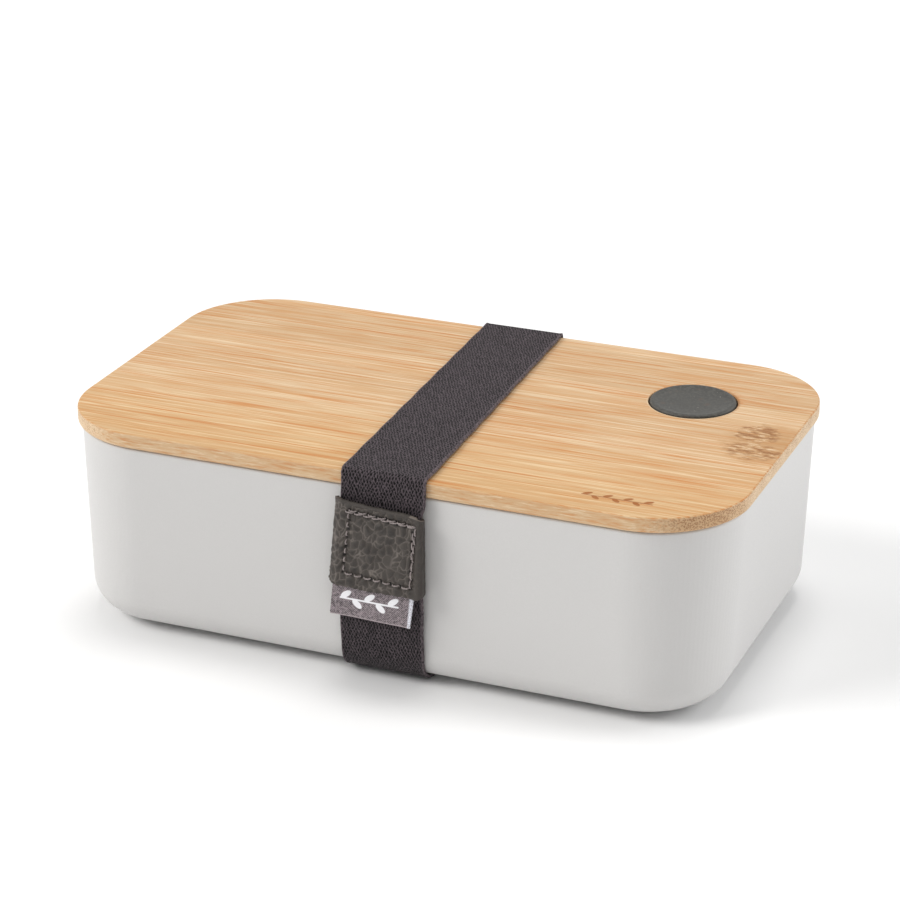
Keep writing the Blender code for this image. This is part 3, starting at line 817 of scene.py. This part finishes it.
def makeSeal():
    middle = (sealLow.z + sealHigh.z) / 2
    startPiece()
    section = bpy.data.curves.new("sealSection", "CURVE")
    section.dimensions = "2D"
    spline = section.splines.new("POLY")
    reach = seal["bead"]
    # round back towards the groove, two fins towards the wall
    turns = np.linspace(math.pi / 2, 3 * math.pi / 2, 9)
    points = [(reach * math.cos(a), reach * math.sin(a)) for a in turns]
    points += [(0.0002, -reach), (reach + seal["fin"], -reach * 0.75), (0.0003, -reach * 0.25),
               (0.0003, reach * 0.25), (reach + seal["fin"], reach * 0.75), (0.0002, reach)]
    spline.points.add(len(points) - 1)
    for spot, (a, b) in zip(spline.points, points):
        spot.co = (a, b, 0, 1)
    spline.use_cyclic_u = True
    profile = bpy.data.objects.new("sealSection", section)
    bpy.context.scene.collection.objects.link(profile)
    radius = seal["corner"]
    x, y = sealHigh.x - reach - radius, sealHigh.y - reach - radius
    path = bpy.data.curves.new("lidSealRing", "CURVE")
    path.dimensions = "3D"
    path.bevel_mode = "OBJECT"
    path.bevel_object = profile
    ring = path.splines.new("POLY")
    quarter = math.pi / 2
    corners = [arcPoints((sideX * x, sideY * y), radius, number * quarter, (number + 1) * quarter, 24)
               for number, (sideX, sideY) in enumerate(((1, 1), (-1, 1), (-1, -1), (1, -1)))]
    points = np.concatenate(corners)
    ring.points.add(len(points) - 1)
    for spot, (a, b) in zip(ring.points, points):
        spot.co = (a, b, middle, 1)
    ring.use_cyclic_u = True
    linkPiece("lidSealRing", path)
    bpy.ops.object.convert(target="MESH")
    piece = bpy.context.object
    bpy.data.objects.remove(profile)
    cleanMesh(join=0.000005)
    handOver(piece, paleSilicone, "lid", "lid_seal", angle=50)


# vent plug

plug = {
    "disc": 0.0130,
    "proud": 0.0006,         # rim of the disc above the board
    "rimRound": 0.0008,
    "dish": ((0.0005, 0.0), (0.0006, 0.00020), (0.0010, 0.00014), (0.0030, 0.00020), (0.0036, 0.00016)),
    "neck": 0.0050,
    "flange": 0.0078,
    "flangeHeight": 0.0012,
    "flangeRound": 0.0005,
    "thickness": 0.0024,     # disc below the board's face
}


def makeVent():
    startPiece()
    high = topZ + plug["proud"]
    low = topZ - plug["thickness"]
    bpy.ops.mesh.primitive_cylinder_add(vertices=96, radius=plug["disc"], depth=high - low,
                                        location=(ventX, ventY, (high + low) / 2))
    piece = bpy.context.object
    piece.name = piece.data.name = "ventButton"
    bpy.ops.object.transform_apply(location=True, rotation=True, scale=True)
    bpy.ops.object.mode_set(mode="EDIT")
    pick("EDGE", lambda edge: level(edge, high))
    bpy.ops.mesh.bevel(offset=plug["rimRound"], segments=6, profile=0.5, affect="EDGES")
    pick("FACE", lambda face: level(face, high))
    for inset, drop in plug["dish"]:
        bpy.ops.mesh.inset(thickness=inset, depth=0)
        bpy.ops.transform.translate(value=(0, 0, -drop))
    pick("FACE", lambda face: level(face, low))
    bpy.ops.mesh.inset(thickness=plug["disc"] - plug["neck"], depth=0)
    lowerFace(low - ventLow.z - plug["flangeHeight"])
    lowerFace(0)
    wider = plug["flange"] / plug["neck"]
    bpy.ops.transform.resize(value=(wider, wider, 1), center_override=(ventX, ventY, 0))
    lowerFace(plug["flangeHeight"])
    pick("EDGE", lambda edge: level(edge, ventLow.z))
    bpy.ops.mesh.bevel(offset=plug["flangeRound"], segments=3, profile=0.5, affect="EDGES")
    bpy.ops.object.mode_set(mode="OBJECT")
    handOver(piece, darkSilicone, "vent", "vent_plug", angle=35)


# divider: copies of the design's own solids with their edges eased

def makeDivider(name, node, material, ease):
    startPiece()
    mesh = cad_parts[node].data.copy()
    mesh.name = name
    piece = linkPiece(name, mesh)
    bpy.ops.object.mode_set(mode="EDIT")
    bpy.ops.mesh.select_all(action="SELECT")
    bpy.ops.mesh.remove_doubles(threshold=0.00001)
    bpy.ops.mesh.dissolve_limited(angle_limit=math.radians(1))
    bpy.ops.object.mode_set(mode="OBJECT")
    applyModifier(piece, "BEVEL", width=ease, segments=3, limit_method="ANGLE", angle_limit=math.radians(40),
                  use_clamp_overlap=True)
    applyModifier(piece, "WEIGHTED_NORMAL", weight=50, keep_sharp=True)
    handOver(piece, material, "divider", node, angle=0)


# strap

strap = {
    "width": 0.0262,
    "thickness": 0.0011,
    "lift": 0.0013,          # outer face above what the strap lies on
    "selvedge": 0.0009,      # width of the raised cord along each edge
    "ridge": 0.00022,
    "topRound": 0.0006,
    "bend": 0.0040,
    "bendY": 0.06255,        # inner face behind the patch
    "tuck": 0.0011,          # how much narrower it is inside the patch's fold
    "edgeDrop": 0.00055,     # rounding of the outer edge, and how far in it reaches
    "edgeWidth": 0.00035,
}


def touchAngle(first, second):
    (y1, z1, r1), (y2, z2, r2) = first, second
    return math.atan2(z2 - z1, y2 - y1) - math.acos((r1 - r2) / math.hypot(y2 - y1, z2 - z1))


def strapLine():
    baseY = tubHigh.y - fit["sideTaper"] - fit["baseRoll"]
    baseZ = tubLow.z + fit["baseRoll"]
    edgeY, edgeZ = lidHigh.y - strap["topRound"], topZ - strap["topRound"]
    bendY = strap["bendY"] - fit["gap"] - strap["bend"]
    circles = [
        (-baseY, baseZ, fit["baseRoll"]),
        (baseY, baseZ, fit["baseRoll"]),
        (edgeY, edgeZ, strap["topRound"]),
        (-edgeY, edgeZ, strap["topRound"]),
        (-bendY, patchHigh.z, strap["bend"]),
        (-bendY, patchLow.z, strap["bend"]),
    ]
    runs = []
    for here, (y, z, radius) in enumerate(circles):
        start = touchAngle(circles[here - 1], circles[here])
        end = touchAngle(circles[here], circles[(here + 1) % len(circles)])
        sweep = (end - start) % (2 * math.pi)
        steps = max(3, round(sweep / math.radians(7)))
        runs.append(arcPoints((y, z), radius + strap["lift"], start, start + sweep, steps))
    # start in the middle of the patch, where the webbing's ends meet out of sight
    half = (runs[-1][0] + runs[-2][-1]) / 2
    return filled(np.concatenate([[half], runs[-1], *runs[:-1], [half]]), 0.0010)


def makeStrap():
    line = strapLine()
    run = lengths(line)
    total = run[-1]
    edge = np.diff(line, axis=0)
    tangent = np.vstack([edge[:1] + edge[-1:], edge[:-1] + edge[1:], edge[:1] + edge[-1:]])
    tangent /= np.linalg.norm(tangent, axis=1)[:, None]
    outward = np.stack([tangent[:, 1], -tangent[:, 0]], 1)
    across = 0.5 - 0.5 * np.cos(math.pi * np.linspace(0, 1, 61))
    across = 0.35 * across + 0.65 * np.linspace(0, 1, 61)

    def place(u, v):
        at = u * total
        y, z = np.interp(at, run, line[:, 0]), np.interp(at, run, line[:, 1])
        ny, nz = np.interp(at, run, outward[:, 0]), np.interp(at, run, outward[:, 1])
        fromEdge = np.minimum(v, 1 - v) * strap["width"]
        cord = np.clip(1 - np.abs(fromEdge / strap["selvedge"] - 0.5) * 2, 0, 1) ** 0.6
        loops = 0.75 + 0.25 * np.sin(at * 2 * math.pi / webbingLook["row"])
        drop = strap["edgeDrop"] * np.clip(1 - fromEdge / strap["edgeWidth"], 0, 1) ** 2
        rise = strap["ridge"] * cord * loops - drop
        waver = 0.00010 * np.sin(at * 410) + 0.00005 * np.sin(at * 2 * math.pi / webbingLook["row"])
        hidden = np.clip((z - patchLow.z + 0.001) / 0.004, 0, 1)
        hidden = hidden * np.clip((patchHigh.z + 0.001 - z) / 0.004, 0, 1)
        tuck = strap["tuck"] * hidden * (y < 0) * v
        x = (v - 0.5) * strap["width"] + waver * np.clip(1 - fromEdge / 0.003, 0, 1) - tuck
        return onStrap(x, y + ny * rise, z + nz * rise)

    piece = gridPiece("strapWebbing", run / total, across, place)
    cleanMesh(join=0.00002)
    applyModifier(piece, "SOLIDIFY", thickness=strap["thickness"], offset=-1, use_even_offset=True)
    handOver(piece, webbingMaterial(total), "strap", "strap_webbing", angle=60)


# leather patch and its stitches

patch = {
    "leather": 0.0011,
    "frontEnd": -0.0149,
    "backEnd": -0.0150,
    "foldRadius": 0.0016,
    "frontLean": 0.0018,     # how much further left the front layer's end is at the bottom
    "backLean": 0.0032,
    "backDrop": 0.0018,      # top edge of the back layer below the front one's
    "slant": 0.0018,         # how much lower the top edge is at the right
    "squeeze": 0.0021,       # how far the open ends are drawn back towards the box
    "foldTaper": 0.0008,
    "cell": (0.0023, 0.0029),
    "relief": 0.00058,
    "stitchPitch": 0.0029,
    "stitchLength": 0.0023,
    "stitchWidth": 0.0207,
    "stitchHeight": 0.0194,
    "stitchX": 0.0005,
    "tilt": math.radians(4.4),
    "thread": 0.00013,
    "strandApart": 0.00011,  # a strand from the middle of its stitch
    "threadLift": 0.00016,
    "threadDip": 0.00075,    # how far the ends go down into the leather
    "pressed": 0.00030,      # leather drawn in along the stitches, and puffed up between them
    "puffed": 0.00018,
    "holeDepth": 0.00035,
    "holeSize": 0.00038,
    "ease": 0.00016,
}


# stitches as (x, z, direction, share shown) in the strap's own frame, with the thread's doubled rows
def stitchPlaces():
    halfX, halfZ = patch["stitchWidth"] / 2, patch["stitchHeight"] / 2
    middleZ = (patchLow.z + patchHigh.z) / 2
    rows = [  # start corner, end corner, share of each stitch that shows
        ((-halfX - 0.0012, halfZ), (halfX, halfZ), 1.0),
        ((-halfX - 0.0004, halfZ + 0.0006), (halfX - 0.0002, halfZ + 0.0003), 0.9),
        ((halfX, halfZ), (halfX, -halfZ), 0.95),
        ((halfX - 0.0006, halfZ - 0.0015), (halfX - 0.0003, halfZ - 0.0105), 0.85),
        ((halfX, -halfZ), (-halfX, -halfZ), 0.8),
        ((-halfX, -halfZ), (-halfX, halfZ), 0.5),
    ]
    cos, sin = math.cos(patch["tilt"]), math.sin(patch["tilt"])
    made = []
    for first, second, shown in rows:
        first, second = Vector(first), Vector(second)
        run = second - first
        count = max(1, round(run.length / patch["stitchPitch"]))
        for number in range(count):
            x, z = first + run * (number + 0.5) / count
            heading = math.atan2(run.y, run.x) + math.radians(9 if number % 2 else 4)
            made.append((x * cos + z * sin + patch["stitchX"], z * cos - x * sin + middleZ,
                         heading - patch["tilt"], shown))
    return made


def stitchEnds(places):
    ends = []
    for x, z, heading, _ in places:
        for side in (-0.5, 0.5):
            reach = side * patch["stitchPitch"] * 0.98
            ends.append((x + reach * math.cos(heading), z + reach * math.sin(heading)))
    return np.array(ends)


# distance from a point of the patch to its line of stitches
def fromStitching(x, z):
    cos, sin = math.cos(-patch["tilt"]), math.sin(-patch["tilt"])
    dx, dz = x - patch["stitchX"], z - (patchLow.z + patchHigh.z) / 2
    a, b = np.abs(dx * cos + dz * sin), np.abs(dz * cos - dx * sin)
    outX, outZ = a - patch["stitchWidth"] / 2, b - patch["stitchHeight"] / 2
    return np.abs(np.maximum(outX, outZ))


# nearness to the creases between the leather's pebbles, 0 on a crease
def pebble(x, z):
    sizeX, sizeZ = patch["cell"]
    made = np.empty(len(x))
    for here, (a, b) in enumerate(zip(x, z)):
        bent = noise.noise(Vector((a * 330, b * 330, 4.0))) * 0.42
        bent += noise.noise(Vector((a * 900, b * 900, 7.0))) * 0.10
        near = noise.voronoi(Vector(((a - b * 0.45) / sizeX + bent, (b + a * 0.30) / sizeZ - bent, 1.5)))[0]
        made[here] = near[1] - near[0]
    return made


def patchRise(x, z, dome):
    seam = fromStitching(x, z)
    pressed = patch["pressed"] * np.exp(-(seam / 0.0008) ** 2)
    puffed = patch["puffed"] * np.clip(seam / 0.003, 0, 1)
    return patch["relief"] * (dome - 1) - pressed + puffed


def makePatch():
    frontY, backY = patchLow.y, patchHigh.y
    foldX = strap["width"] / 2 + fit["gap"] + patch["leather"] - strap["tuck"]
    radius = patch["foldRadius"]
    quarter = math.pi / 2
    front = filled(np.array([(patch["frontEnd"], frontY), (foldX - radius, frontY)]), 0.00017)
    back = filled(np.array([(foldX - radius, backY), (patch["backEnd"], backY)]), 0.0006)
    line = np.concatenate([
        front[:-1],
        arcPoints((foldX - radius, frontY + radius), radius, -quarter, 0, 9),
        arcPoints((foldX - radius, backY - radius), radius, 0, quarter, 9),
        back[1:],
    ])
    run = lengths(line)
    total = run[-1]
    edge = np.gradient(line, axis=0)
    edge /= np.linalg.norm(edge, axis=1)[:, None]
    outward = np.stack([edge[:, 1], -edge[:, 0]], 1)
    low, high = patchLow.z, patchHigh.z
    across = np.linspace(0, 1, 150)
    places = stitchPlaces()
    ends = stitchEnds(places)
    marks = {}

    def place(u, v):
        at = u * total
        x, y = np.interp(at, run, line[:, 0]), np.interp(at, run, line[:, 1])
        nx, ny = np.interp(at, run, outward[:, 0]), np.interp(at, run, outward[:, 1])
        front = y < (frontY + backY) / 2
        end = np.where(front, patch["frontEnd"], patch["backEnd"])
        lean = np.where(front, patch["frontLean"], patch["backLean"])
        share = (x - end) / (foldX - end)
        behind = np.clip((y - frontY) / (backY - frontY), 0, 1)
        bottom = low - 0.0003 - 0.0004 * share
        top = high + patch["slant"] * (0.5 - share) - patch["backDrop"] * behind
        top = top - 0.0005 * np.clip((share - 0.86) / 0.14, 0, 1) ** 1.5
        z = bottom + (top - bottom) * v
        near = pebble(at, z)
        dome = np.clip(near / 0.75, 0, 1) ** 0.75
        smooth = np.clip((0.045 - (1 - v)) / 0.03, 0, 1) + np.clip((x - foldX + 0.0030) / 0.0015, 0, 1)
        smooth = np.clip(smooth, 0, 0.85)       # plainer along the top border and over the fold
        dome = dome * (1 - smooth) + smooth
        rise = np.where(front, patchRise(x, z, dome), patch["relief"] * (dome - 1))
        holes = np.min(np.hypot(x[:, None] - ends[:, 0], (z[:, None] - ends[:, 1]) * 0.8), axis=1)
        pit = np.where(front & (x < foldX - 0.002), np.clip(1.25 - holes / patch["holeSize"], 0, 1), 0)
        rise = rise - patch["holeDepth"] * pit
        marks["crease"] = np.clip(1 - near / 0.10, 0, 1) * (1 - smooth)
        marks["dome"] = dome * (1 - 0.6 * smooth)
        marks["pit"] = pit
        marks["raw"] = np.where((share > 0.88) & (v > 0.992), 0.8, 0.0)
        ragged = 0.00008 * np.sin(at * 900) + 0.00012 * np.sin(at * 310 + 1)
        z = z + ragged * np.clip(1 - np.minimum(v, 1 - v) / 0.04, 0, 1)
        droop = np.clip((share - 0.93) / 0.07, 0, 1) ** 2 * 0.0006
        z = z + np.where(v < 0.5, droop * (1 - 2 * v) ** 6, 0)      # rounded lower corner at the fold
        z = z - np.where(v > 0.5, droop * 0.4 * (2 * v - 1) ** 6, 0)
        # the open ends lie closer together than the layers over the strap
        loose = np.clip(1 - (x - end) / 0.0028, 0, 1) ** 1.5
        y = y + np.where(front, patch["squeeze"] * loose, 0)
        x = x + lean * (0.5 - v) * -1 * (1 - share) - patch["foldTaper"] * (v - 0.35) * np.clip(share, 0, 1)
        return onStrap(x + nx * rise, y + ny * rise, z)

    piece = gridPiece("leatherPatch", run / total, across, place)
    for name, values in marks.items():
        piece.data.attributes.new(name, "FLOAT", "POINT").data.foreach_set("value", values.astype(np.float32))
    cleanMesh()
    applyModifier(piece, "SOLIDIFY", thickness=patch["leather"], offset=-1, use_even_offset=True)
    applyModifier(piece, "BEVEL", width=patch["ease"], segments=1, limit_method="ANGLE",
                  angle_limit=math.radians(60))
    handOver(piece, leather, "strap", "leather_patch", angle=50)


# each stitch is two strands laid round each other, its ends going down into the leather
def makeStitches():
    startPiece()
    curve = bpy.data.curves.new("patchStitches", "CURVE")
    curve.dimensions = "3D"
    curve.bevel_depth = patch["thread"]
    curve.bevel_resolution = 1
    curve.use_fill_caps = True
    places = stitchPlaces()
    surface = patchLow.y
    for x, z, heading, shown in places:
        for phase in (0, math.pi):
            spline = curve.splines.new("POLY")
            shares = np.linspace(-0.5, 0.5, 9)
            spline.points.add(len(shares) - 1)
            for spot, share in zip(spline.points, shares):
                turn = phase + share * 2.6 * math.pi
                along = share * patch["stitchLength"] * 1.12 * shown
                aside = patch["strandApart"] * math.cos(turn)
                lift = patch["strandApart"] * math.sin(turn) + patch["threadLift"]
                lift = lift - patch["threadDip"] * (2 * abs(share)) ** 4
                px = x + along * math.cos(heading) - aside * math.sin(heading)
                pz = z + along * math.sin(heading) + aside * math.cos(heading)
                spot.co = (*onStrap(np.array([px]), np.array([surface - lift]), np.array([pz]))[0], 1)
    linkPiece("patchStitches", curve)
    bpy.ops.object.convert(target="MESH")
    piece = bpy.context.object
    cleanMesh(join=0.000002)
    handOver(piece, thread, "strap", "patch_stitching", angle=60)


# woven label

label = {
    "width": 0.0253,
    "middleX": -0.0018,
    "layer": 0.00022,
    "half": 0.00036,         # outer face to the ribbon's middle plane
    "lean": 0.085,
    "bow": 0.00035,          # waviness of the free end, and how far its right corner stands off
    "curl": 0.0006,
    "motif": {"start": 0.0026, "line": 0.0118, "leaf": 0.0037, "leaves": 5},
}


def makeLabel():
    low, high = labelLow.z, labelHigh.z
    middleY = (labelLow.y + labelHigh.y) / 2
    half = label["half"]
    outline = np.concatenate([
        [(-half, high)],
        arcPoints((0, low + half), half, math.pi, 2 * math.pi, 10),
        [(half, high)],
    ])
    line = filled(outline, 0.0006)
    run = lengths(line)
    total = run[-1]
    edge = np.gradient(line, axis=0)
    edge /= np.linalg.norm(edge, axis=1)[:, None]
    across = np.linspace(0, 1, 64)

    def place(u, v):
        at = u * total
        y, z = np.interp(at, run, line[:, 0]), np.interp(at, run, line[:, 1])
        free = np.clip((high - 0.0085 - z) / 0.010, 0, 1)      # 0 under the patch, 1 at the fold
        bow = label["bow"] * free * np.sin(v * 5.2 + 0.6)
        bow = bow - label["curl"] * free * np.clip((v - 0.8) / 0.2, 0, 1) ** 2
        fray = 0.00007 * np.sin(at * 5200) * ((v < 0.001) | (v > 0.999))
        x = label["middleX"] + (v - 0.5) * label["width"] + label["lean"] * (z - (low + high) / 2) + fray
        return onStrap(x, middleY + y + bow, z)

    piece = gridPiece("wovenLabel", run / total, across, place)
    cleanMesh()
    applyModifier(piece, "SOLIDIFY", thickness=label["layer"], offset=-1, use_even_offset=True)
    material = ribbonMaterial(total, label["width"], label["motif"])
    handOver(piece, material, "strap", "woven_label", angle=60)


# floor

ground = {"size": 12, "albedo": (0.955, 0.970)}


def makeFloor():
    startPiece()
    bpy.ops.mesh.primitive_plane_add(size=ground["size"], location=(0, 0, 0))
    floor = bpy.context.object
    floor.name = "floor"
    material, tree, shader = newMaterial("paleFloor", 0.9, Specular_IOR_Level=0.1)
    place = ownPlace(tree)
    shade = spread(tree, noiseValue(tree, place, 3, 2), 0.3, 0.7, *ground["albedo"])
    grey = addNode(tree, "CombineColor", {0: shade, 1: shade, 2: shade}).outputs[0]
    tree.links.new(grey, shader.inputs["Base Color"])
    floor.data.materials.append(material)


shellPlastic = plasticMaterial("containerShell", plasticLook["container"])
panelPlastic = plasticMaterial("dividerPlastic", plasticLook["divider"])
bamboo = bambooMaterial()
darkSilicone = siliconeMaterial("ventSilicone", siliconeLook["vent"], 1.0)
paleSilicone = siliconeMaterial("sealSilicone", siliconeLook["seal"], 0.0)
leather = leatherMaterial()
thread = threadMaterial()

makeFloor()
makeContainer()
makeLid()
makeSeal()
makeVent()
makeDivider("dividerPanel", "divider_panel", panelPlastic, 0.0004)
makeDivider("dividerEdging", "divider_seal", paleSilicone, 0.0003)
makeStrap()
makePatch()
makeStitches()
makeLabel()

startPiece()
